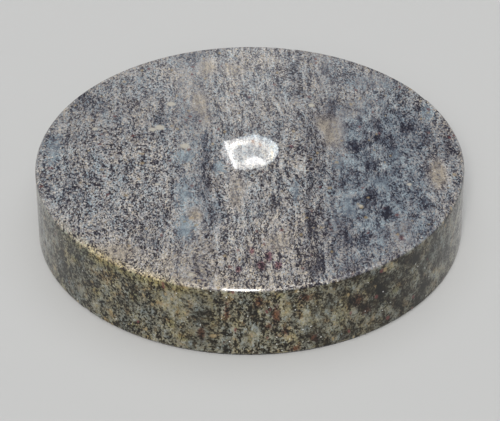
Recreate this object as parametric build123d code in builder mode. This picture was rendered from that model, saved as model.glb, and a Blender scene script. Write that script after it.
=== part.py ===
"""Round granite slab for leather tooling: a polished stone disc on a thin felt base.

The stone is the anvil that leather lies on while it is carved, stamped and burnished.
It is one piece, cut round and polished on its top, its side and both edges. Under it lie
a film of adhesive and a thin black felt disc, which keep it from sliding, ringing and
scratching the bench.

Units are millimetres. +Z is up, and the origin is the middle of the felt's underside,
where the slab stands on the bench.
"""

from build123d import *

import os

# Driving dimensions
slab_diameter = 101.6  # 4 in
stone_thickness = 18.6  # from a nominal 3/4 in (2 cm) countertop slab, ground and polished
felt_thickness = 0.4
film_thickness = 0.1

upper_edge_radius = 0.9  # eased by hand after the polish
lower_edge_radius = 0.5
base_inset = 0.1  # from the end of the stone's flat underside in to the felt
felt_edge_chamfer = 0.1  # where the die has pressed the felt's lower rim

# Sizes worked out from them
slab_radius = slab_diameter / 2
stone_bottom = felt_thickness + film_thickness
stone_top = stone_bottom + stone_thickness
base_radius = slab_radius - lower_edge_radius - base_inset


def revolved_stone():
    """The stone disc: half its section, turned round the Z axis."""
    with BuildPart() as stone:
        with BuildSketch(Plane.XZ):
            with BuildLine():
                flat_top = Line((0, stone_top), (slab_radius - upper_edge_radius, stone_top))
                upper_edge = JernArc(flat_top @ 1, flat_top % 1, upper_edge_radius, -90)
                side = Line(upper_edge @ 1, (slab_radius, stone_bottom + lower_edge_radius))
                lower_edge = JernArc(side @ 1, side % 1, lower_edge_radius, -90)
                Polyline(lower_edge @ 1, (0, stone_bottom), (0, stone_top))
            make_face()
        revolve(axis=Axis.Z)
    return stone


def die_cut_disc(thickness, bottom, lower_chamfer=0.0):
    """A disc punched from sheet, with its underside at the height bottom."""
    with BuildPart() as disc:
        with BuildSketch(Plane.XY.offset(bottom)):
            Circle(base_radius)
        extrude(amount=thickness)
        if lower_chamfer:
            chamfer(disc.edges().group_by(Axis.Z)[0], lower_chamfer)
    return disc


granite_disc = revolved_stone()
granite_disc.part.label = "granite_disc"

adhesive_film = die_cut_disc(film_thickness, felt_thickness)
adhesive_film.part.label = "adhesive_film"

felt_base = die_cut_disc(felt_thickness, 0, felt_edge_chamfer)
felt_base.part.label = "felt_base"

os.makedirs("parts", exist_ok=True)
for piece in (granite_disc, adhesive_film, felt_base):
    export_step(piece.part, f"parts/{piece.part.label}.step")
    size = piece.part.bounding_box().size
    print(f"{piece.part.label}: {size.X:.2f} x {size.Y:.2f} x {size.Z:.2f} mm")
print(f"base radius {base_radius:.2f} mm, overall height {stone_top:.2f} mm")
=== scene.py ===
"""Looks of the round granite slab: polished banded gneiss on a black felt base.

Lengths named in millimetres become metres through MM. The stone's foliation planes stand
upright and run along Y, so its bands follow X and its grains are drawn out along Y and Z.
"""

import math
import random

import bmesh
import bpy
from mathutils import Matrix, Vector, noise


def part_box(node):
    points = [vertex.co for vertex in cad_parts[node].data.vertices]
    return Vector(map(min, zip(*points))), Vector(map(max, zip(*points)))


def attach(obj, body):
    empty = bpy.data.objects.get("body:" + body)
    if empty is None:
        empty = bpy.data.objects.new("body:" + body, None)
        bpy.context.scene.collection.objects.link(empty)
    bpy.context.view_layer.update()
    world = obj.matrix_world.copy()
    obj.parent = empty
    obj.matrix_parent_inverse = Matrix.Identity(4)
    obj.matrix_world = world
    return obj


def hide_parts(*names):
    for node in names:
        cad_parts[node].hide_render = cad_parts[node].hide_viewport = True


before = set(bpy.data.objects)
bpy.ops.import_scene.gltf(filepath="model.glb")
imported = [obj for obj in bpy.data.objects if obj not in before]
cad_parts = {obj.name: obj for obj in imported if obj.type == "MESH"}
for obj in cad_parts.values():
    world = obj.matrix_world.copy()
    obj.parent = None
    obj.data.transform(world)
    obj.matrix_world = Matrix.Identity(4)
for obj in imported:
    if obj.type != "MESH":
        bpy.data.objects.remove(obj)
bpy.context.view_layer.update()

MM = 0.001
BODY = "root"

stone_low, stone_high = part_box("granite_disc")
felt_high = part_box("felt_base")[1]

# Stone, in millimetres
STONE_RADIUS = stone_high.x / MM
STONE_TOP = stone_high.z / MM
STONE_BOTTOM = stone_low.z / MM
UPPER_EDGE = 0.9  # how far the eased upper edge drops
LOWER_EDGE = 0.5  # radius of the lower edge
EDGE_UNEVENNESS = 0.16  # share by which the hand-eased edges vary round the disc
SIDE_WAVINESS = 0.03  # how far the ground side dips from true
SIDE_STEPS = 40
LOWER_EDGE_STEPS = 6
TOP_RINGS = (0.25, 0.5, 0.7, 0.85, 0.95, 0.985, 0.997)  # shares of the flat top's radius
UNDERSIDE_RINGS = (0.98, 0.9, 0.7, 0.4)  # shares of the stone's radius
WEAR_REACH = 0.05  # how far wear and chips reach in over the flat top
SEGMENTS = 1080

# Felt, in millimetres
FELT_RADIUS = felt_high.x / MM
FELT_TOP = felt_high.z / MM
FELT_CHAMFER = 0.1
FELT_RAGGEDNESS = 0.05  # how far the cut rim swells and shrinks
FELT_SEGMENTS = 480
FELT_FIBRES = 1400
FIBRE_HALF_WIDTH = 0.012
FIBRE_ROOT = 0.08  # how deep in the rim a fibre starts
FIBRE_STEPS = 3

# Chips: degrees round from the front towards +X, height, half width, half height, depth
CHIPS = [
    (25.3, 0.9, 1.5, 1.5, 0.42),
    (122.7, 18.9, 2.2, 0.7, 0.22),
    (-48.0, 0.7, 1.0, 0.8, 0.25),
    (-163.0, 0.8, 1.6, 1.0, 0.35),
    (78.0, 0.7, 0.9, 0.7, 0.22),
    (-96.0, 18.8, 0.9, 0.6, 0.18),
    (168.0, 18.9, 1.3, 0.7, 0.2),
]
CHIP_RAGGEDNESS = 0.35
CHIP_STEEPNESS = 2.2


# ---------------------------------------------------------------- shader graphs


class Graph:
    """A material's node tree, built by short calls that return output sockets."""

    def __init__(self, name):
        self.material = bpy.data.materials.new(name)
        self.material.use_nodes = True
        self.nodes = self.material.node_tree.nodes
        self.links = self.material.node_tree.links
        self.shader = self.nodes["Principled BSDF"]

    def feed(self, socket, value):
        """A link where value is a socket, and otherwise a set value."""
        if isinstance(value, bpy.types.NodeSocket):
            self.links.new(value, socket)
        elif socket.type == "RGBA":
            socket.default_value = (*value[:3], 1.0)
        else:
            socket.default_value = value

    def add(self, kind, inputs=None, **settings):
        node = self.nodes.new("ShaderNode" + kind)
        for key, value in settings.items():
            setattr(node, key, value)
        for key, value in (inputs or {}).items():
            self.feed(node.inputs[key], value)
        return node

    def position(self):
        """The object's own coordinates, in millimetres."""
        place = self.add("TexCoord").outputs["Object"]
        return self.vector("SCALE", place, scale=1 / MM)

    def vector(self, operation, a, b=None, scale=None):
        node = self.add("VectorMath", {0: a}, operation=operation)
        if b is not None:
            self.feed(node.inputs[1], b)
        if scale is not None:
            self.feed(node.inputs["Scale"], scale)
        return node.outputs["Value" if operation == "LENGTH" else "Vector"]

    def math(self, operation, *values):
        inputs = dict(enumerate(values))
        return self.add("Math", inputs, operation=operation).outputs[0]

    def total(self, *terms):
        result = terms[0]
        for term in terms[1:]:
            result = self.math("ADD", result, term)
        return result

    def product(self, *factors):
        result = factors[0]
        for factor in factors[1:]:
            result = self.math("MULTIPLY", result, factor)
        return result

    def between(self, share, start, end):
        """A straight blend from start, where share is 0, to end, where it is 1."""
        return self.math("MULTIPLY_ADD", share, end - start, start)

    def stretch(self, vector, factors):
        """The vector with each of its parts multiplied by its own factor."""
        return self.vector("MULTIPLY", vector, factors)

    def spread(self, value, amount, middle=0.5):
        """(value - middle) * amount, for a value spread round middle."""
        return self.math("MULTIPLY_ADD", value, amount, -middle * amount)

    def remap(self, value, low, high, to_low=0.0, to_high=1.0):
        """A smooth step from to_low at low to to_high at high."""
        inputs = {"Value": value, "From Min": low, "From Max": high}
        inputs.update({"To Min": to_low, "To Max": to_high})
        return self.add("MapRange", inputs, interpolation_type="SMOOTHSTEP").outputs["Result"]

    def axes(self, vector):
        return self.add("SeparateXYZ", {"Vector": vector}).outputs[:3]

    def noise(self, vector, scale, detail=2.0, roughness=0.5, output=0):
        inputs = {"Vector": vector, "Scale": scale, "Detail": detail, "Roughness": roughness}
        return self.add("TexNoise", inputs).outputs[output]

    def cells(self, vector, scale):
        """A Voronoi mosaic: each cell's three random numbers, and the distance to its seed."""
        node = self.add("TexVoronoi", {"Vector": vector, "Scale": scale})
        split = self.add("SeparateColor", {"Color": node.outputs["Color"]})
        return (*split.outputs[:3], node.outputs["Distance"])

    def ramp(self, value, stops, interpolation="LINEAR"):
        """A colour ramp. A stop is (place, grey) or (place, (red, green, blue))."""
        node = self.add("ValToRGB", {"Fac": value})
        node.color_ramp.interpolation = interpolation
        elements = node.color_ramp.elements
        while len(elements) < len(stops):
            elements.new(1.0)
        for element, (place, colour) in zip(elements, stops):
            rgb = colour if hasattr(colour, "__len__") else (colour,) * 3
            element.position = place
            element.color = (*rgb, 1.0)
        return node.outputs["Color"]

    def mix(self, factor, a, b, blend="MIX"):
        node = self.add("Mix", data_type="RGBA", blend_type=blend)
        for index, value in ((0, factor), (6, a), (7, b)):
            self.feed(node.inputs[index], value)
        return node.outputs[2]

    def blob(self, place, centre, radii, ragged, outer=1.25, inner=0.55):
        """1 inside an ellipsoid and 0 outside, with a soft ragged border."""
        shifted = self.vector("SUBTRACT", place, centre)
        reach = self.vector("LENGTH", self.vector("DIVIDE", shifted, radii))
        return self.remap(self.math("ADD", reach, ragged), outer, inner)

    def bump(self, height, relief, normal=None):
        """A bumped normal, where a height of 1 stands relief millimetres proud."""
        inputs = {"Height": height, "Distance": relief * MM, "Strength": 1.0}
        if normal is not None:
            inputs["Normal"] = normal
        return self.add("Bump", inputs).outputs["Normal"]

    def finish(self, **inputs):
        for name, value in inputs.items():
            self.feed(self.shader.inputs[name.replace("_", " ")], value)
        return self.material


# ---------------------------------------------------------------- stone material

# The mosaic of grains: how much finer it is along X, Y and Z, and its cells a millimetre
TOP_GRAINS = (1.50, 0.80, 0.74)
SIDE_GRAINS = (1.02, 1.02, 0.95)
COARSE_CELLS = 2.2
FINE_CELLS = 4.2
GRAIN_JITTER = 0.30

# Colours of single crystals and specks, of painted glint highlights, and stains that multiply the
# colour under them
CREAM = (0.47, 0.44, 0.375)
RED_SPECK = (0.13, 0.035, 0.035)
OCHRE_SPECK = (0.36, 0.27, 0.14)
# A painted highlight: the colour of glint cells that stand in for light caught by crystal faces
PAINTED_GLINT = (0.85, 0.85, 0.83)
BROWN_STAIN = (1.04, 0.80, 0.58)
BLUE_STAIN = (0.98, 1.10, 1.32)
GARNET_STAIN = (0.60, 0.32, 0.40)
# Ochre stain, which on the upper edge at the left front also carries a painted warm highlight
OCHRE_STAIN_AND_HIGHLIGHT = (1.14, 1.05, 0.64)
RUST_STAIN = (0.44, 0.18, 0.11)

# Places on the top, in millimetres: x, y, half width, half length, warmth (-1 blue, +1 tan)
PALE_PATCHES = [
    (-12.2, 24.0, 2.0, 5.0, 0.9),
    (-10.6, 16.8, 1.6, 3.6, 0.6),
    (-10.6, 40.7, 2.2, 3.8, 0.7),
    (-4.2, 39.6, 3.0, 3.2, 0.6),
    (20.2, 12.2, 3.0, 7.0, 1.2),
    (17.4, 15.0, 1.6, 4.0, 0.8),
    (23.6, 19.2, 4.4, 2.2, 0.3),
    (28.5, 24.0, 5.5, 3.6, 0.0),
    (30.5, 33.5, 5.5, 4.0, 0.0),
    (-12.7, -22.2, 2.0, 3.0, 1.2),
    (44.2, -6.5, 2.3, 6.5, 1.2),
    (-3.2, -11.6, 1.9, 8.5, 0.6),
    (-30.0, -37.0, 4.0, 3.4, 0.8),
    (34.4, -30.0, 3.4, 5.0, 0.4),
    (6.0, -33.0, 2.6, 5.0, 0.4),
    (-15.3, 1.6, 2.6, 2.8, -0.9),
    (-7.4, -3.2, 1.4, 3.8, -0.9),
    (-14.8, -27.0, 1.9, 4.8, -0.9),
    (-15.4, -14.0, 1.8, 4.0, -0.6),
    (10.6, -12.7, 0.9, 5.5, -0.8),
    (21.1, -1.4, 1.8, 2.8, -0.5),
    (30.5, -9.8, 2.2, 3.0, -0.7),
    (35.0, 2.0, 1.4, 2.2, -0.5),
    (43.4, 20.2, 1.9, 3.8, -1.0),
    (22.6, -19.0, 1.8, 4.4, -0.7),
    (-46.5, 4.0, 1.8, 6.0, -0.6),
]
DARK_PATCHES = [  # x, y, half width, half length, strength
    (13.0, -30.0, 4.5, 6.0, 0.4),
    (20.5, -30.0, 5.0, 7.5, 0.6),
    (27.5, -19.0, 3.5, 5.0, 0.55),
    (5.0, -20.0, 3.5, 5.0, 0.5),
    (-23.5, -29.0, 4.0, 6.0, 0.45),
    (-7.5, -8.0, 2.5, 5.0, 0.4),
    (-15.5, 17.0, 3.0, 5.0, 0.3),
    (6.5, -8.0, 3.0, 6.0, 0.25),
    (42.0, 6.5, 3.0, 6.0, 0.5),
    (-21.7, 18.0, 2.0, 3.4, 0.8),
    (-10.8, 8.5, 1.0, 4.6, 0.8),
    (-10.4, 0.0, 1.3, 6.0, 1.0),
    (-10.0, -9.0, 1.2, 6.0, 0.9),
    (-9.6, -18.5, 1.1, 5.6, 0.3),
    (-11.6, -42.0, 1.5, 3.6, 0.8),
    (-18.0, -9.8, 1.2, 2.2, 0.8),
    (-19.0, -21.0, 1.3, 3.0, 0.6),
    (-21.4, -32.8, 2.0, 3.0, 0.9),
    (-42.4, -9.5, 1.2, 6.4, 0.7),
    (-40.4, 26.0, 2.6, 4.2, 0.8),
    (-16.4, 46.0, 2.0, 2.4, 0.6),
    (11.6, 35.4, 1.4, 2.6, 0.5),
    (10.4, -3.0, 0.7, 10.0, 0.3),
    (14.8, 0.0, 1.2, 12.5, 0.55),
    (13.9, -26.5, 1.7, 6.0, 1.1),
    (14.6, -41.0, 2.5, 6.0, 1.2),
    (1.2, -39.5, 2.2, 3.6, 0.6),
    (19.9, 21.5, 1.9, 4.6, 1.0),
    (25.3, 5.2, 2.2, 3.6, 1.0),
    (31.5, 8.0, 3.0, 3.4, 1.0),
    (28.8, -2.2, 2.0, 2.8, 0.9),
    (37.4, 4.0, 1.9, 3.0, 0.9),
    (38.6, 12.4, 2.4, 3.6, 0.9),
    (31.0, 15.0, 2.0, 2.6, 0.6),
    (31.7, -21.6, 1.4, 2.0, 1.1),
    (28.5, -13.8, 1.3, 3.2, 0.7),
    (40.6, -16.0, 0.8, 3.0, 0.8),
    (22.2, -31.0, 1.6, 4.2, 0.9),
    (47.2, 6.0, 1.3, 8.0, 0.8),
    (40.8, 22.0, 1.6, 3.6, 0.6),
]
CREAM_CRYSTALS = [  # x, y, radius
    (-19.2, 24.1, 1.1),
    (-21.7, 13.8, 1.2),
    (-23.4, 12.9, 0.9),
    (-15.5, 5.8, 1.15),
    (-37.3, 13.3, 0.7),
    (15.1, 23.2, 0.8),
    (37.3, -10.6, 0.6),
    (-13.2, -45.2, 0.7),
    (-21.7, -10.1, 0.6),
    (25.6, -19.2, 0.6),
]
GARNETS = [  # x, y, half width, half length
    (2.4, -42.0, 1.0, 1.8),
    (4.2, -38.8, 0.9, 2.2),
    (6.2, -41.8, 0.9, 1.6),
    (0.4, -36.5, 0.6, 1.4),
    (-2.6, -43.4, 0.6, 1.2),
    (34.4, -31.7, 0.6, 0.9),
    (31.0, -20.0, 0.4, 0.5),
    (9.9, 5.4, 0.5, 0.8),
]

# Places on the side: degrees from the front towards +X, height, half width, half height
SIDE_RUST = [
    (6.4, 11.6, 1.0, 3.0),
    (4.5, 8.8, 0.9, 1.1),
    (8.9, 7.1, 0.9, 1.4),
    (16.4, 3.8, 1.0, 1.2),
    (11.3, 1.7, 1.2, 0.9),
    (2.1, 15.4, 1.0, 1.8),
    (28.2, 11.2, 1.4, 2.2),
    (14.1, 15.6, 1.6, 1.1),
    (-12.5, 6.0, 0.9, 2.2),
    (-6.0, 12.5, 0.7, 3.0),
    (31.0, 7.6, 1.6, 1.4),
]
# The first two, wide bands along the upper edge at the left front, are partly ochre stain and partly
# a painted warm highlight on the eased edge
SIDE_OCHRE = [
    (-44.0, 17.9, 10.0, 1.9),
    (-26.0, 17.7, 9.0, 1.6),
    (7.7, 17.0, 1.3, 0.8),
    (32.4, 16.0, 1.1, 0.9),
    (-20.6, 7.1, 1.2, 1.5),
    (-31.2, 11.8, 1.4, 1.6),
    (-31.9, 3.5, 1.2, 1.0),
    (-17.4, 3.8, 1.6, 1.1),
    (-44.0, 8.0, 1.5, 1.4),
    (-37.5, 16.0, 2.0, 1.0),
    (-52.0, 13.0, 1.6, 1.2),
    (40.5, 9.5, 1.4, 1.5),
]
SIDE_PALE = [
    (0.5, 6.2, 1.8, 3.0),
    (-21.0, 12.4, 3.0, 3.6),
    (9.5, 13.0, 1.3, 4.0),
    (17.0, 9.0, 4.5, 7.0),
    (-50.0, 5.0, 2.0, 2.2),
]
SIDE_DARK = [
    (-25.8, 12.6, 2.2, 3.2),
    (25.3, 13.2, 1.9, 4.2),
    (30.0, 8.8, 1.4, 1.4),
    (36.1, 11.8, 1.5, 3.6),
    (1.4, 13.6, 0.9, 4.2),
    (-8.0, 12.0, 0.8, 4.5),
    (46.0, 15.0, 2.4, 2.2),
    (-58.0, 10.0, 1.5, 4.0),
]

# Colour ramps of the mosaic, from mafic grains to quartz, and the bands' tone across X
TOP_MINERALS = [
    (0.00, (0.016, 0.014, 0.022)),
    (0.20, (0.046, 0.042, 0.055)),
    (0.40, (0.144, 0.140, 0.153)),
    (0.55, (0.250, 0.246, 0.246)),
    (0.75, (0.380, 0.368, 0.352)),
    (1.00, (0.600, 0.588, 0.560)),
]
# The side's ramps are darker and warmer than the top's: partly the stone's iron staining, partly
# painted shade and painted warm light on the side
SIDE_MINERALS_SHADED = [
    (0.00, (0.003, 0.002, 0.001)),
    (0.25, (0.008, 0.006, 0.002)),
    (0.42, (0.032, 0.026, 0.016)),
    (0.55, (0.095, 0.092, 0.070)),
    (0.72, (0.172, 0.168, 0.134)),
    (1.00, (0.300, 0.302, 0.268)),
]
TOP_TINTS = [(0.0, (0.80, 0.98, 1.11)), (0.5, (1.0, 0.99, 1.01)), (1.0, (1.12, 1.01, 0.85))]
SIDE_TINTS = [(0.0, (0.88, 1.0, 1.14)), (0.5, (1.0, 1.0, 1.0)), (1.0, (1.13, 1.01, 0.72))]
BAND_TONES = [  # share of the way across from -X to +X, tone
    (0.00, 0.51),
    (0.08, 0.47),
    (0.28, 0.49),
    (0.33, 0.54),
    (0.37, 0.54),
    (0.40, 0.46),
    (0.44, 0.53),
    (0.61, 0.50),
    (0.64, 0.38),
    (0.69, 0.47),
    (0.75, 0.43),
    (0.88, 0.42),
    (0.94, 0.49),
    (1.00, 0.46),
]
BAND_CONTRASTS = [  # share of the way across, half the contrast between grains
    (0.00, 0.42),
    (0.08, 0.62),
    (0.29, 0.64),
    (0.34, 0.38),
    (0.38, 0.38),
    (0.42, 0.56),
    (0.60, 0.58),
    (0.66, 0.56),
    (0.70, 0.32),
    (0.78, 0.34),
    (0.90, 0.36),
    (0.96, 0.46),
]
BAND_STREAKS = [  # share of the way across, how strongly the foliation shows
    (0.00, 0.35),
    (0.36, 0.30),
    (0.42, 0.75),
    (0.66, 0.80),
    (0.72, 0.35),
    (0.90, 0.35),
    (0.95, 0.50),
]
BAND_BLUES = [  # share of the way across, share of blue quartz and coarse clusters
    (0.00, 0.55),
    (0.10, 0.15),
    (0.25, 0.05),
    (0.34, 0.45),
    (0.42, 0.25),
    (0.48, 0.00),
    (0.62, 0.00),
    (0.68, 0.25),
    (0.74, 0.90),
    (0.88, 0.95),
    (0.95, 0.20),
    (1.00, 0.25),
]


def on_side(degrees, height):
    """The point of the stone's side at that angle and height, in millimetres."""
    turn = math.radians(degrees)
    return (STONE_RADIUS * math.sin(turn), -STONE_RADIUS * math.cos(turn), height)


class Gneiss(Graph):
    """Polished banded gneiss: a mosaic of grains whose tone and tint follow the bands."""

    def __init__(self):
        super().__init__("polished_gneiss")
        self.place = self.position()
        self.x, self.y, self.z = self.axes(self.place)
        self.lay_bands()
        self.lay_grains()
        self.lay_zones()
        self.lay_patches()
        self.lay_tone()
        colour = self.mix(self.side, self.top_colour(), self.shaded_side_colour())
        colour = self.with_crystals(colour)
        colour = self.with_specks(colour)
        self.polish(colour)

    def lay_bands(self):
        """Foliation: the bands slant a little and wander along Y and Z."""
        slow = self.noise(self.stretch(self.place, (0.05, 0.022, 0.03)), 1.0)
        sway = self.total(self.spread(slow, 9.0), self.product(self.y, 0.02))
        drift = self.add("CombineXYZ", {"X": sway}).outputs[0]
        self.flow = self.vector("ADD", self.place, drift)
        self.across = self.math("MULTIPLY_ADD", self.axes(self.flow)[0], 0.5 / STONE_RADIUS, 0.5)
        self.streaks = self.noise(self.stretch(self.flow, (1.0, 0.16, 0.42)), 0.9, 3.0, 0.6)
        self.clouds = self.noise(self.stretch(self.flow, (1.0, 0.45, 0.6)), 0.22, 3.0, 0.6)
        self.stains = self.noise(self.stretch(self.flow, (0.9, 0.7, 0.7)), 0.6, 3.0, 0.6)

    def lay_grains(self):
        """Grains, jittered so that no outline is straight, and drawn out along Y on the top."""
        jitter = self.vector("SUBTRACT", self.noise(self.place, 2.2, 1.0, output=1), (0.5, 0.5, 0.5))
        self.shaken = self.vector("ADD", self.flow, self.vector("SCALE", jitter, scale=GRAIN_JITTER))
        below_top = self.math("LESS_THAN", self.z, STONE_TOP - 0.2 * UPPER_EDGE)
        grain_place = self.stretch(self.shaken, self.mix(below_top, TOP_GRAINS, SIDE_GRAINS))
        self.coarse = self.cells(grain_place, COARSE_CELLS)
        self.fine = self.cells(grain_place, FINE_CELLS)
        self.mottle = self.noise(grain_place, 1.9, 2.0, 0.6)
        self.clusters = self.noise(self.stretch(self.shaken, (1.0, 0.7, 0.7)), 0.42, 2.0, 0.5)
        self.ragged = self.total(
            self.spread(self.coarse[1], 0.6),
            self.spread(self.mottle, 1.2),
            self.spread(self.clusters, 0.9),
        )

    def lay_zones(self):
        """Where the side begins, where blue quartz shows, and the parts of the top."""
        from_axis = self.vector("LENGTH", self.stretch(self.place, (1.0, 1.0, 0.0)))
        self.rim = self.remap(from_axis, STONE_RADIUS - 2.6, STONE_RADIUS - 0.4)
        self.side = self.remap(self.z, STONE_TOP - 0.3 * UPPER_EDGE, STONE_TOP - 1.1 * UPPER_EDGE)
        self.top = self.math("SUBTRACT", 1.0, self.side)
        self.blue_share = self.product(
            self.ramp(self.across, BAND_BLUES),
            self.remap(self.y, 30.0, 12.0, 0.3, 1.0),
            self.remap(self.y, -40.0, -22.0, 0.45, 1.0),
        )
        self.back_right = self.product(self.remap(self.y, 10.0, 24.0), self.remap(self.x, 16.0, 26.0))
        front = self.remap(self.y, -14.0, -46.0, 0.0, 0.55)
        self.tan_front = self.product(front, self.top, self.remap(self.x, 18.0, 6.0))

    def top_patch(self, x, y, width, length):
        """A ragged patch of the polished top."""
        return self.blob(self.place, (x, y, STONE_TOP), (width, length, length), self.ragged)

    def side_patches(self, spots):
        """The union of the ragged patches at these spots of the side."""
        union = 0.0
        for degrees, height, width, tall in spots:
            radii = (width, 2.0 * width, tall)
            patch = self.blob(self.place, on_side(degrees, height), radii, self.ragged, inner=0.45)
            union = self.math("MAXIMUM", union, patch)
        return union

    def lay_patches(self):
        """Pale quartz and feldspar, and dark clusters of biotite."""
        self.pale = self.side_patches(SIDE_PALE)
        self.dark = self.side_patches(SIDE_DARK)
        self.warmth = self.total(
            self.product(self.blue_share, -0.8),
            self.tan_front,
            self.spread(self.clouds, 1.8),
            self.product(self.side, self.spread(self.clouds, 2.6)),
            self.product(self.rim, 0.3),
            self.product(self.spread(self.coarse[1], 1.5), self.between(self.side, 1.0, 0.6)),
        )
        for x, y, width, length, warm in PALE_PATCHES:
            patch = self.top_patch(x, y, width, length)
            self.pale = self.math("MAXIMUM", self.pale, patch)
            self.warmth = self.math("MULTIPLY_ADD", patch, warm, self.warmth)
        for x, y, width, length, strength in DARK_PATCHES:
            patch = self.product(self.top_patch(x, y, width, length), strength)
            self.dark = self.math("MAXIMUM", self.dark, patch)

    def lay_tone(self):
        """From 0, black, to 1, white: the bands set the level, and the grains spread round it."""
        fleck_chance = self.total(
            self.coarse[0],
            self.spread(self.mottle, 0.6),
            self.spread(self.streaks, 1.4),
            self.spread(self.clusters, 0.5),
        )
        flecks = self.remap(fleck_chance, 0.42, 0.32)
        grains = self.total(
            self.spread(self.fine[0], 0.34),
            self.spread(self.coarse[2], 0.26),
            self.spread(self.mottle, 0.35),
            self.between(flecks, 0.15, -0.27),
        )
        contrast = self.product(
            self.ramp(self.across, BAND_CONTRASTS),
            2.0,
            self.remap(self.y, -4.0, 20.0, 1.0, 0.72),
            self.between(self.back_right, 1.0, 1.9),
            self.between(self.pale, 1.0, 0.5),
            self.between(self.side, 1.0, 0.7),
        )
        side_tone = self.total(self.spread(self.clouds, 0.4), self.spread(self.clusters, 0.5))
        self.tone = self.total(
            self.ramp(self.across, BAND_TONES),
            self.product(grains, contrast),
            self.product(self.spread(self.streaks, 1.0), self.ramp(self.across, BAND_STREAKS)),
            self.spread(self.clouds, 0.16),
            self.product(self.spread(self.clusters, 0.9), self.blue_share),
            self.product(self.pale, self.between(self.side, 0.07, 0.17)),
            self.product(self.dark, -0.22),
            self.product(self.side, side_tone),
            self.remap(self.y, 16.0, 30.0, 0.0, 0.03),
        )

    def minerals(self, tones, tints):
        """The colour of each grain: its tone's, tinted from blue to tan by its warmth."""
        warm_share = self.math("MULTIPLY_ADD", self.warmth, 0.5, 0.5)
        return self.mix(1.0, self.ramp(self.tone, tones), self.ramp(warm_share, tints), "MULTIPLY")

    def stained(self, colour, stain, mask, strength):
        """The colour seen through a stain where the mask is 1."""
        return self.mix(self.product(mask, strength), colour, stain, "MULTIPLY")

    def top_colour(self):
        return self.minerals(TOP_MINERALS, TOP_TINTS)

    # The side's colour: darker and warmer than the top's, partly iron stain and partly painted shade
    def shaded_side_colour(self):
        colour = self.minerals(SIDE_MINERALS_SHADED, SIDE_TINTS)
        colour = self.stained(colour, BROWN_STAIN, self.remap(self.stains, 0.54, 0.66), 0.8)
        return self.stained(colour, BLUE_STAIN, self.remap(self.stains, 0.46, 0.36), 0.8)

    def with_crystals(self, colour):
        """Single crystals of cream feldspar and garnet, and the side's rust and ochre."""
        close = self.spread(self.fine[1], 0.3)
        cream = 0.0
        for x, y, radius in CREAM_CRYSTALS:
            crystal = self.blob(self.place, (x, y, STONE_TOP), (radius,) * 3, close)
            cream = self.math("MAXIMUM", cream, crystal)
        colour = self.mix(self.product(cream, 0.9), colour, CREAM)
        garnet = 0.0
        for x, y, width, length in GARNETS:
            garnet = self.math("MAXIMUM", garnet, self.top_patch(x, y, width, length))
        colour = self.stained(colour, GARNET_STAIN, garnet, 0.9)
        # Ochre on the side; along the upper edge at the left front it is partly a painted warm
        # highlight
        ochre = self.product(self.side_patches(SIDE_OCHRE), self.rim)
        colour = self.stained(colour, OCHRE_STAIN_AND_HIGHLIGHT, ochre, 0.75)
        return self.stained(colour, RUST_STAIN, self.side_patches(SIDE_RUST), 0.95)

    def with_specks(self, colour):
        """Scattered specks: rare cells that are garnet or ochre, and painted highlights: bright glint
        cells that stand in for light caught by crystal faces, more of them along the top's rim.
        """
        speck_place = self.stretch(self.shaken, (1.0, 0.8, 0.8))
        red_chance, ochre_chance, _, reach = self.cells(speck_place, 0.95)
        core = self.remap(reach, 0.55, 0.30)
        red = self.product(self.remap(red_chance, 0.985, 0.99), core)
        ochre = self.product(self.remap(ochre_chance, 0.975, 0.98), core)
        colour = self.mix(self.product(red, 0.6), colour, RED_SPECK)
        colour = self.mix(self.product(ochre, 0.5), colour, OCHRE_SPECK)
        # Painted highlights: bright glint cells, more of them along the top's rim
        chance, _, _, reach = self.cells(self.place, 1.7)
        chance = self.total(chance, self.product(self.rim, self.top, 0.05))
        painted_glints = self.product(self.remap(chance, 0.982, 0.985), self.remap(reach, 0.30, 0.18))
        return self.mix(self.product(painted_glints, 0.7), colour, PAINTED_GLINT)

    def polish(self, colour):
        """Under the mirror polish, a duller lobe from grain borders and softer mica."""
        dullness = self.remap(self.tone, 0.6, 0.2, 0.22, 0.36)
        relief = self.total(self.spread(self.tone, 0.5), self.product(self.fine[0], 0.2))
        self.finish(
            Base_Color=colour,
            Roughness=self.total(self.product(self.side, 0.08), dullness),
            Normal=self.bump(relief, 0.004),
            IOR=1.5,
            Specular_IOR_Level=0.15,
            Coat_Weight=0.6,
            Coat_Roughness=0.015,
            Coat_IOR=1.5,
        )


# ---------------------------------------------------------------- other materials


def felt():
    """Needled black felt: matted fibre ends, lint and a slight brown fade."""
    g = Graph("black_felt")
    place = g.position()
    fibres = g.noise(g.stretch(place, (1.0, 1.0, 2.5)), 4.0, 5.0, 0.7)
    matting = g.noise(place, 0.5, 3.0, 0.6)
    tone = g.total(g.spread(fibres, 0.9), g.spread(matting, 0.5), 0.5)
    shades = [
        (0.2, (0.006, 0.006, 0.007)),
        (0.6, (0.018, 0.018, 0.020)),
        (1.0, (0.050, 0.048, 0.046)),
    ]
    return g.finish(
        Base_Color=g.ramp(tone, shades),
        Roughness=g.remap(fibres, 0.3, 0.7, 0.88, 1.0),
        Normal=g.bump(fibres, 0.12),
        Sheen_Weight=0.25,
        Sheen_Roughness=0.5,
    )


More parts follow.
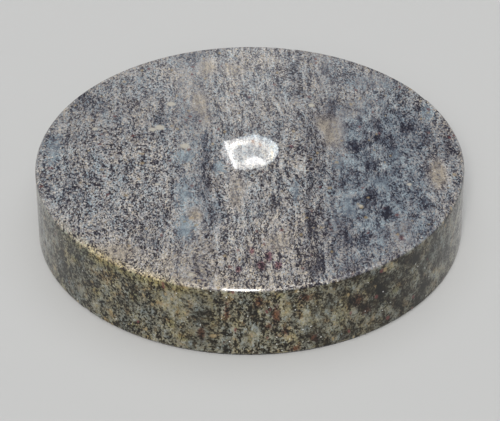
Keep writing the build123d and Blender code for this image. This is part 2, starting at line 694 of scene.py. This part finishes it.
def adhesive():
    """Pressure-sensitive film: amber gum, cloudy where it has wetted the stone unevenly."""
    g = Graph("adhesive_film")
    place = g.position()
    cloud = g.noise(place, 0.35, 4.0, 0.6)
    strings = g.noise(g.stretch(place, (0.3, 1.0, 1.0)), 2.2, 3.0, 0.6)
    tone = g.total(g.spread(cloud, 1.4), g.spread(strings, 0.5), 0.5)
    shades = [
        (0.10, (0.10, 0.085, 0.05)),
        (0.55, (0.20, 0.18, 0.12)),
        (1.00, (0.34, 0.32, 0.25)),
    ]
    return g.finish(
        Base_Color=g.ramp(tone, shades),
        Roughness=g.remap(cloud, 0.3, 0.7, 0.28, 0.5),
        Normal=g.bump(tone, 0.02),
    )


# ---------------------------------------------------------------- meshes


def new_object(name, mesh):
    """Puts a finished bmesh into the scene as a smooth object."""
    data = bpy.data.meshes.new(name)
    bmesh.ops.recalc_face_normals(mesh, faces=mesh.faces)
    mesh.to_mesh(data)
    mesh.free()
    data.shade_smooth()
    piece = bpy.data.objects.new(name, data)
    bpy.context.scene.collection.objects.link(piece)
    return piece


def lathe(name, rings, segments):
    """A closed body of revolution. rings(turn) gives its section at that angle, in
    millimetres, from the axis above to the axis below, without the two ends' points."""
    mesh = bmesh.new()
    loops = []
    for index in range(segments):
        turn = 2 * math.pi * index / segments
        section = rings(turn)
        loops.append([
            mesh.verts.new((r * math.sin(turn) * MM, -r * math.cos(turn) * MM, h * MM))
            for r, h in section
        ])
    top = mesh.verts.new((0, 0, loops[0][0].co.z))
    bottom = mesh.verts.new((0, 0, loops[0][-1].co.z))
    for index, loop in enumerate(loops):
        following = loops[(index + 1) % segments]
        mesh.faces.new((top, loop[0], following[0]))
        mesh.faces.new((bottom, following[-1], loop[-1]))
        for upper in range(len(loop) - 1):
            corners = (loop[upper], loop[upper + 1], following[upper + 1], following[upper])
            mesh.faces.new(corners)
    return new_object(name, mesh)


def around(turn, frequency, seed):
    """Smooth noise from -1 to 1 that closes on itself round the disc."""
    return noise.noise(Vector((frequency * math.cos(turn), frequency * math.sin(turn), seed)))


def chip_depth(turn, height):
    """How far the chips have cut into the rim there, in millimetres."""
    depth = 0.0
    for degrees, middle, half_width, half_height, deepest in CHIPS:
        swing = (turn - math.radians(degrees) + math.pi) % (2 * math.pi) - math.pi
        reach = math.hypot(swing * STONE_RADIUS / half_width, (height - middle) / half_height)
        bite = noise.noise(Vector((turn * 40, height * 1.3, deepest * 10))) * CHIP_RAGGEDNESS
        depth += deepest * max(0.0, min(1.0, (1.0 + bite - reach) * CHIP_STEEPNESS))
    return depth


def eased_edge(steps, flatness, tilt):
    """An edge rubbed down by hand, from the top to the side, for a drop of 1. It bends less
    in the middle, like a soft bevel. At a flatness of 0 it is a quarter circle, and the tilt
    turns the bevel from 45 degrees towards upright."""
    points = [(0.0, 0.0)]
    for step in range(steps):
        share = (step + 0.5) / steps
        swing = math.sin(2 * math.pi * (share - tilt)) + math.sin(2 * math.pi * tilt)
        lean = math.pi / 2 * (share + flatness * swing / (2 * math.pi))
        out, down = points[-1]
        points.append((out + math.cos(lean), down + math.sin(lean)))
    drop = points[-1][1]
    return [(out / drop, down / drop) for out, down in points]


EASED_EDGE = eased_edge(steps=16, flatness=0.88, tilt=0.04)


def stone_section(turn):
    """The stone's section: flat top, eased edge, ground side, eased edge, underside."""
    upper = UPPER_EDGE * (1 + EDGE_UNEVENNESS * around(turn, 2.5, 3.0))
    lower = LOWER_EDGE * (1 + EDGE_UNEVENNESS * around(turn, 3.5, 9.0))
    flat = STONE_RADIUS - upper * EASED_EDGE[-1][0]
    section = [(flat * share, STONE_TOP) for share in TOP_RINGS]
    section += [(flat + upper * out, STONE_TOP - upper * down) for out, down in EASED_EDGE]
    side_top, side_bottom = STONE_TOP - upper, STONE_BOTTOM + lower
    for step in range(1, SIDE_STEPS):
        section.append((STONE_RADIUS, side_top + (side_bottom - side_top) * step / SIDE_STEPS))
    for step in range(LOWER_EDGE_STEPS + 1):
        lean = math.radians(90 / LOWER_EDGE_STEPS * step)
        rim = STONE_RADIUS - lower * (1 - math.cos(lean))
        section.append((rim, side_bottom - lower * math.sin(lean)))
    section += [(STONE_RADIUS * share, STONE_BOTTOM) for share in UNDERSIDE_RINGS]
    worn = []
    for radius, height in section:
        if radius > flat - WEAR_REACH:
            dip = SIDE_WAVINESS * (1 + around(turn, 4.0, 0.12 * height)) / 2
            radius -= chip_depth(turn, height) + dip * min(1.0, (radius - flat) / upper)
        worn.append((radius, height))
    return worn


def felt_section(turn):
    """The felt's section, with a rim that swells and shrinks a little where it was cut."""
    rim = FELT_RADIUS - FELT_RAGGEDNESS + FELT_RAGGEDNESS * around(turn, 60.0, 1.0)
    section = [(rim * share, FELT_TOP) for share in (0.3, 0.6, 0.8, 0.9, 0.96)]
    section += [(rim - 0.04, FELT_TOP), (rim, FELT_TOP - 0.06), (rim, FELT_TOP / 2)]
    section += [(rim - 0.02, FELT_CHAMFER), (rim - FELT_CHAMFER, 0.0)]
    section += [(rim * share, 0.0) for share in (0.98, 0.9, 0.8, 0.6, 0.3)]
    return section


def felt_fringe(count):
    """Loose fibre ends round the felt's cut rim, each a thin bent blade of four sides."""
    mesh = bmesh.new()
    draw = random.Random(11)
    for _ in range(count):
        turn = draw.uniform(0, 2 * math.pi)
        height = draw.uniform(0.05, FELT_TOP - 0.05)
        length = draw.uniform(0.12, 0.45)
        lean = draw.uniform(-0.9, 0.9)
        lift = draw.uniform(-0.5, 0.3)
        rings = []
        for step in range(FIBRE_STEPS + 1):
            share = step / FIBRE_STEPS
            out = length * share
            radius = FELT_RADIUS - FIBRE_ROOT + out
            swing = turn + lean * out * share / FELT_RADIUS
            level = max(0.01, height + lift * out * share)
            width = FIBRE_HALF_WIDTH * (1 - step / (FIBRE_STEPS + 1))
            ring = []
            for side, rise in ((-1, 0), (0, 1), (1, 0), (0, -1)):
                angle = swing + side * width / FELT_RADIUS
                corner = (radius * math.sin(angle), -radius * math.cos(angle), level + rise * width)
                ring.append(mesh.verts.new(Vector(corner) * MM))
            rings.append(ring)
        for inner, outer in zip(rings, rings[1:]):
            for corner in range(4):
                nearby = (corner + 1) % 4
                mesh.faces.new((inner[corner], inner[nearby], outer[nearby], outer[corner]))
        mesh.faces.new(rings[0])
        mesh.faces.new(reversed(rings[-1]))
    return new_object("felt_fringe", mesh)


def finish_piece(piece, material, node=None):
    """Gives a piece its material and slot, and lets it ride in place of its CAD node."""
    piece.data.materials.clear()
    piece.data.materials.append(material)
    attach(piece, BODY)
    if node:
        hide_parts(node)
    return piece


finish_piece(
    lathe("polished_stone", stone_section, SEGMENTS), Gneiss().material, "granite_disc"
)
felt_material = felt()
felt_disc = finish_piece(
    lathe("felt_disc", felt_section, FELT_SEGMENTS), felt_material, "felt_base"
)
fringe = finish_piece(felt_fringe(FELT_FIBRES), felt_material)
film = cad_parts["adhesive_film"]
film.data.materials.clear()
film.data.materials.append(adhesive())


# ---------------------------------------------------------------- stage

# Camera, in metres from the slab's middle on the bench
CAMERA_PLACE = (0.0, -0.5022, 0.3644)
CAMERA_DIP = 35.65  # degrees below the horizon
CAMERA_ROLL = -0.25
LENS = 185.1

# Paper sweep, in metres: how far its floor reaches, and the radius of its bend
SWEEP_FLAT = 3.0
SWEEP_BEND = 1.5
SWEEP_SEGMENTS = 96
PAPER = (0.54, 0.54, 0.535)


def toward(azimuth, elevation):
    """Unit vector out from the slab. Azimuth 0 is the camera's side, 90 is +X."""
    turn, rise = math.radians(azimuth), math.radians(elevation)
    flat = math.cos(rise)
    return Vector((math.sin(turn) * flat, -math.cos(turn) * flat, math.sin(rise)))


def flat_material(name, colour, roughness):
    g = Graph(name)
    return g.finish(Base_Color=colour, Roughness=roughness)


def glow_material(name, colour, strength):
    g = Graph(name)
    return g.finish(Base_Color=(0, 0, 0), Emission_Color=colour, Emission_Strength=strength)


def paper_sweep():
    """A pale floor that turns up into a low wall far away, so that no horizon shows."""
    mesh = bmesh.new()
    rings = []
    profile = [(SWEEP_FLAT / 3, 0.0), (SWEEP_FLAT, 0.0)]
    for degrees in range(10, 61, 10):
        lean = math.radians(degrees)
        bend = (SWEEP_BEND * math.sin(lean), SWEEP_BEND * (1 - math.cos(lean)))
        profile.append((SWEEP_FLAT + bend[0], bend[1]))
    turns = [2 * math.pi * index / SWEEP_SEGMENTS for index in range(SWEEP_SEGMENTS)]
    for radius, height in profile:
        rings.append([
            mesh.verts.new((radius * math.cos(turn), radius * math.sin(turn), height))
            for turn in turns
        ])
    centre = mesh.verts.new((0, 0, 0))
    for index in range(SWEEP_SEGMENTS):
        following = (index + 1) % SWEEP_SEGMENTS
        mesh.faces.new((centre, rings[0][index], rings[0][following]))
        for inner, outer in zip(rings, rings[1:]):
            corners = (inner[index], outer[index], outer[following], inner[following])
            mesh.faces.new(corners)
    sweep = new_object("paper_sweep", mesh)
    sweep.data.materials.append(flat_material("pale_paper", PAPER, 0.9))


def sun(name, azimuth, elevation, strength, colour, width):
    """A soft distant light: width is how many degrees across it looks from the slab."""
    light = bpy.data.lights.new(name, "SUN")
    light.energy = strength
    light.color = colour
    light.angle = math.radians(width)
    lamp = bpy.data.objects.new(name, light)
    lamp.rotation_mode = "QUATERNION"
    lamp.rotation_quaternion = toward(azimuth, elevation).to_track_quat("Z", "Y")
    bpy.context.scene.collection.objects.link(lamp)


# The lamp behind the slab, whose mirror image shows in the polished top. Its outlines are in
# millimetres from its own middle, across and up as seen from the slab.
LAMP_DISTANCE = 1600
LAMP_IMAGE = (0.0, 3.1)  # where its mirror image shows on the top, x and y
LAYER_GAP = 2  # from each layer to the one in front of it
LAMP_LAYERS = {  # outline, colour, strength, from the back layer to the front one
    "veil": (
        [(-22, -8), (-25, -1), (-24.5, 5), (-18, 10.5), (-13, 14), (-13, 0)],
        (1.0, 0.97, 0.97),
        4.5,
    ),
    "haze": (
        [(-22, -8), (-16, 2), (-14, 14), (-4, 15), (10, 13), (20, 8), (25, 1), (24, -6), (18, -11),
         (6, -15), (-8, -13)],
        (0.85, 0.95, 1.0),
        10.5,
    ),
    "glass": (
        [(-22, -9), (-15, -11), (-3, -12), (8, -11), (15, -8), (18, 0), (17, 7), (10, 13), (-4, 14.5),
         (-12, 14)],
        (1.0, 0.99, 0.96),
        11.0,
    ),
    "cup": (
        [(-14, -2), (-9, -5), (1, -6), (10, -5), (15, -1), (15, 4), (10, 9), (-2, 10), (-10, 9)],
        (0.95, 0.99, 1.0),
        6.5,
    ),
    "rim_left": (
        [(-22.3, -9.3), (-20.6, -9), (-16.8, -1), (-13.4, 8), (-10.5, 13), (-10.5, 14.6), (-13, 14),
         (-16, 8), (-18.8, 0)],
        (1.0, 1.0, 1.0),
        22.0,
    ),
    "crescent": (
        [(-17.6, -5.5), (-14, -8.9), (-7, -9.9), (-1, -8.6), (-2, -6.7), (-7, -6.9), (-11.8, -5.2),
         (-14.6, -1.6), (-16, 1)],
        (1.0, 0.98, 0.92),
        22.0,
    ),
    "rim_right": (
        [(18.0, -2.5), (20, -1), (20.6, 2.5), (19.6, 6.5), (17.5, 8.5), (18.2, 5), (18.5, 1.5)],
        (1.0, 0.93, 0.75),
        19.0,
    ),
    "bulb": (
        [(-4.5, 9.5), (-3, 6.4), (0, 4.3), (4.5, 3.6), (8.6, 5.2), (12, 8), (14, 9.4), (9, 10.4),
         (2, 11), (-3, 10.7)],
        (1.0, 1.0, 1.0),
        19.0,
    ),
    "warm_fleck_a": ([(0.5, -9.4), (2.6, -10.4), (5.2, -8.8), (3.4, -7.8)], (1.0, 0.62, 0.35), 13.0),
    "warm_fleck_b": ([(7.0, -7.2), (8.6, -7.8), (10.6, -5.6), (9.2, -4.8)], (1.0, 0.66, 0.40), 13.0),
}
PANEL_OUTLINE = [(-260, -230), (260, -230), (260, 40), (-260, 40)]
PANEL_BEHIND = 40  # how far the soft panel stands behind the lamp
PANEL_REACH = (210, 110, 110)  # from its middle to where its glow has faded out
PANEL_GLOW = 1.2

# Both frontal lights shine from here, and the upper edge's bevel mirrors them as a highlight
FRONTAL = (-4.6, 40.0)  # azimuth and elevation, in degrees

SKY = (0.92, 0.95, 1.0, 1.0)
SKY_STRENGTH = 0.15


def lamp_sheet(name, outline, depth):
    """A flat layer of the lamp, depth millimetres nearer to the slab than its back."""
    image = Vector((LAMP_IMAGE[0] * MM, LAMP_IMAGE[1] * MM, stone_high.z))
    sight = (image - Vector(CAMERA_PLACE)).normalized()
    ray = Vector((sight.x, sight.y, -sight.z))
    rising = ray.cross(Vector((1, 0, 0))).normalized() * -1
    centre = image + ray * (LAMP_DISTANCE - depth) * MM
    mesh = bmesh.new()
    points = [centre + (Vector((1, 0, 0)) * u + rising * v) * MM for u, v in outline]
    mesh.faces.new([mesh.verts.new(point) for point in points])
    sheet = new_object(name, mesh)
    return sheet


def soft_panel():
    """A dim feathered panel round the lamp, mirrored by the far half of the polish."""
    panel = lamp_sheet("soft_panel", PANEL_OUTLINE, -PANEL_BEHIND)
    g = Graph("feathered_glow")
    middle = sum((corner.co for corner in panel.data.vertices), Vector()) / len(PANEL_OUTLINE) / MM
    glow = g.blob(g.position(), middle, PANEL_REACH, 0.0, outer=1.0, inner=0.0)
    material = g.finish(
        Base_Color=(0, 0, 0),
        Emission_Color=(0.96, 0.98, 1.0),
        Emission_Strength=g.product(glow, PANEL_GLOW),
    )
    panel.data.materials.append(material)


def reflector_lamp():
    """A small reflector lamp: a hazy front glass, its bright rims, a cup and the bulb."""
    for depth, (name, (outline, colour, strength)) in enumerate(LAMP_LAYERS.items()):
        sheet = lamp_sheet("lamp_" + name, outline, LAYER_GAP * depth)
        sheet.data.materials.append(glow_material("lamp_" + name, colour, strength))


camera = bpy.data.objects.new("camera", bpy.data.cameras.new("camera"))
camera.data.lens = LENS
camera.data.sensor_width = 36.0
camera.location = CAMERA_PLACE
camera.rotation_mode = "ZYX"  # rolls first, then dips
camera.rotation_euler = (math.radians(90 - CAMERA_DIP), 0, math.radians(CAMERA_ROLL))
bpy.context.scene.collection.objects.link(camera)
bpy.context.scene.camera = camera

paper_sweep()
reflector_lamp()
soft_panel()
sun("key_light", *FRONTAL, strength=0.85, colour=(1.0, 0.985, 0.96), width=30.0)
sun("flash", *FRONTAL, strength=2.45, colour=(1.0, 0.99, 0.97), width=16.0)
sun("top_light", 160.0, 78.0, strength=0.84, colour=(0.95, 0.975, 1.0), width=60.0)

world = bpy.data.worlds.new("soft_studio")
world.use_nodes = True
background = world.node_tree.nodes["Background"]
background.inputs["Color"].default_value = SKY
background.inputs["Strength"].default_value = SKY_STRENGTH
bpy.context.scene.world = world
bpy.context.scene.view_settings.view_transform = "Standard"
